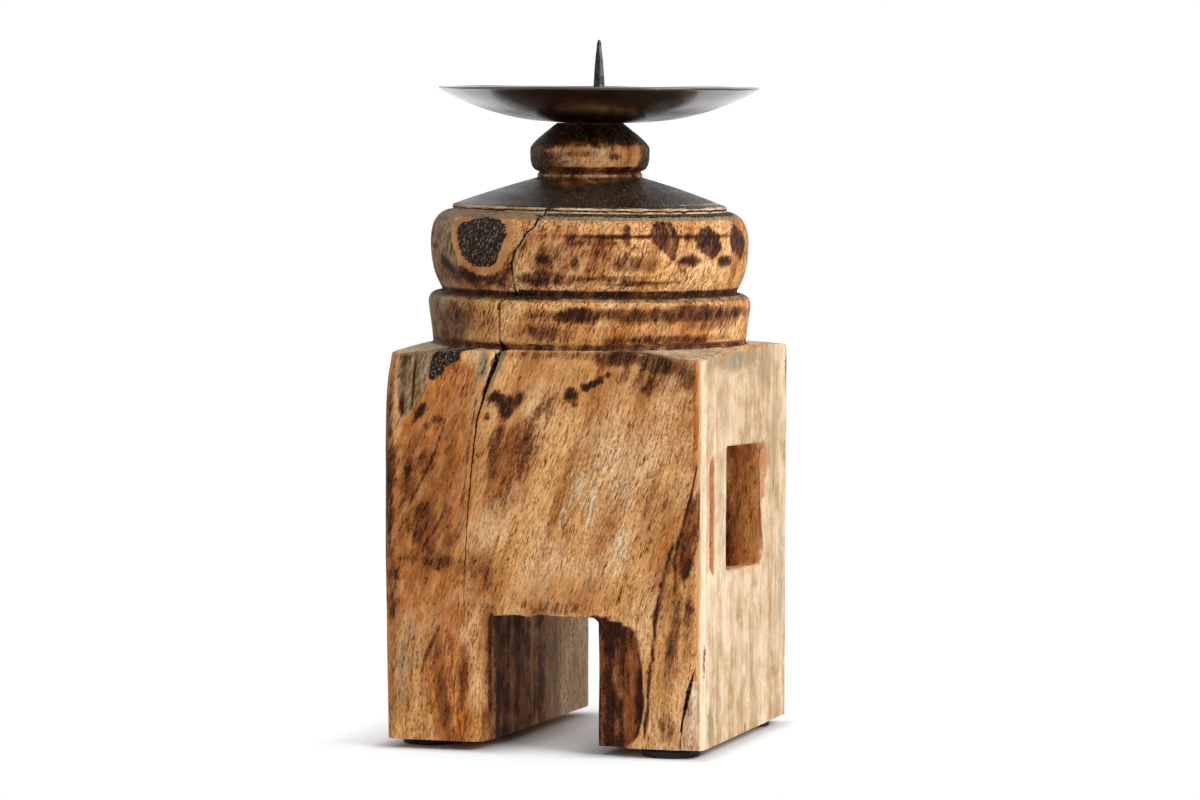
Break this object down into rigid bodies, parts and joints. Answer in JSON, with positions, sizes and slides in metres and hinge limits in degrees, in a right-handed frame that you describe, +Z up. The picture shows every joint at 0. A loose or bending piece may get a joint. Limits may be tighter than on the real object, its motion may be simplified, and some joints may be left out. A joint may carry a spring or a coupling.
{
  "type": "candle holder",
  "caption": "Pricket candle holder: a square timber post with turned rings and a slotted foot carries a dished iron drip pan with a square spike that lifts off.",
  "frame": {"origin": "on the floor under the turning axis of the post", "axes": "+Z up, -Y out of the front face, +X out of the face with the mortise"},
  "size_m": [0.1298, 0.1265, 0.2715],
  "materials": {
    "timber": "old weathered hardwood, sanded and waxed, with dark remains of an older stain",
    "pan_iron": "dark brown oiled iron sheet",
    "spike_iron": "forged dark iron",
    "pad": "matte black stick-on pad"
  },
  "bodies": {
    "stand": {"post": "timber", "foot_pad_front_left": "pad", "foot_pad_front_right": "pad", "foot_pad_rear_left": "pad", "foot_pad_rear_right": "pad"},
    "pan": {"drip_pan": "pan_iron", "spike": "spike_iron"}
  },
  "joints": [
    {"name": "pan_lift", "type": "slide", "parent": "stand", "child": "pan", "axis": [0, 0, 1], "range_m": [0, 0.046]}
  ]
}
